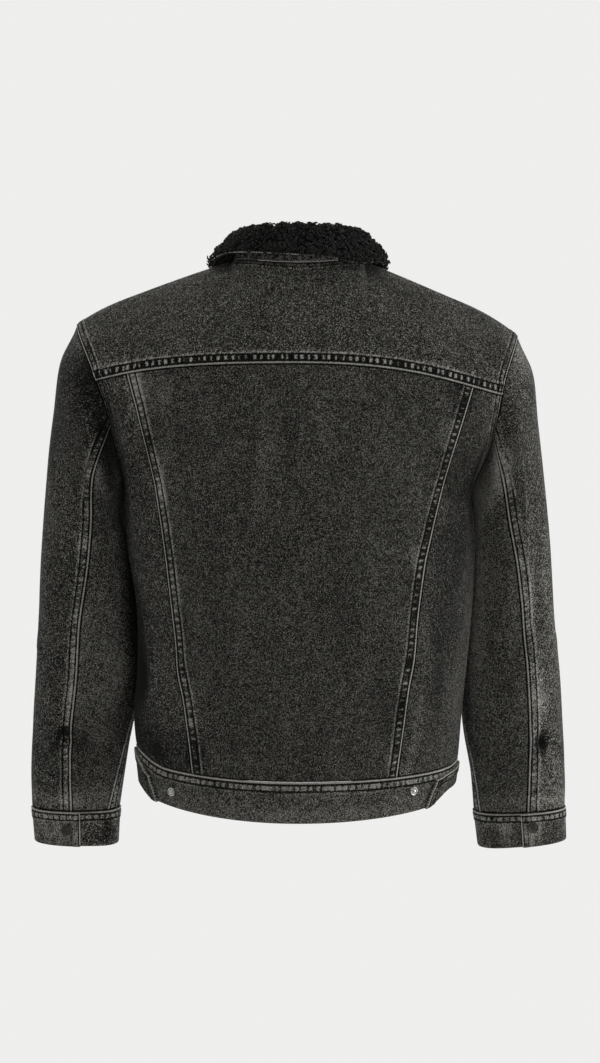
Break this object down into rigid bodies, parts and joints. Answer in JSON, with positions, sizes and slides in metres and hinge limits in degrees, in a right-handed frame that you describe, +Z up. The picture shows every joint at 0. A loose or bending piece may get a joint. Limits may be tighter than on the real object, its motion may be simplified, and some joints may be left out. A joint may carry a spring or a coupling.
{
  "type": "sherpa-collar denim jacket",
  "caption": "Washed black denim jacket, filled out as if worn, with a folded black sherpa collar, back yoke, slanting back seams, buttoned cuffs and unbuttoned waist tabs",
  "frame": {"origin": "middle of the neck opening at the height of the back neck seam, where a wearer's neck and shoulders hold the jacket up", "axes": "+Z up, +Y towards the back of the jacket, +X towards the wearer's left sleeve"},
  "size_m": [0.6734, 0.2704, 0.7675],
  "materials": {
    "denim": "matt twill, washed black",
    "fleece": "deep curly pile",
    "stud_metal": "bright",
    "button_metal": "dark bronze, satin"
  },
  "bodies": {
    "root": {"back_centre": "denim", "back_side_left": "denim", "back_side_right": "denim", "back_yoke": "denim", "collar_leaf": "fleece", "collar_stand": "denim", "cuff_button_left": "button_metal", "cuff_button_right": "button_metal", "cuff_left": "denim", "cuff_right": "denim", "front_button_1": "button_metal", "front_button_2": "button_metal", "front_button_3": "button_metal", "front_button_4": "button_metal", "front_button_5": "button_metal", "front_button_6": "button_metal", "front_left": "denim", "front_right": "denim", "side_tab_left": "denim", "side_tab_right": "denim", "sleeve_under_left": "denim", "sleeve_under_right": "denim", "sleeve_upper_left": "denim", "sleeve_upper_right": "denim", "tab_stud_left": "stud_metal", "tab_stud_right": "stud_metal", "waistband_back": "denim", "waistband_left": "denim", "waistband_right": "denim"}
  },
  "joints": []
}
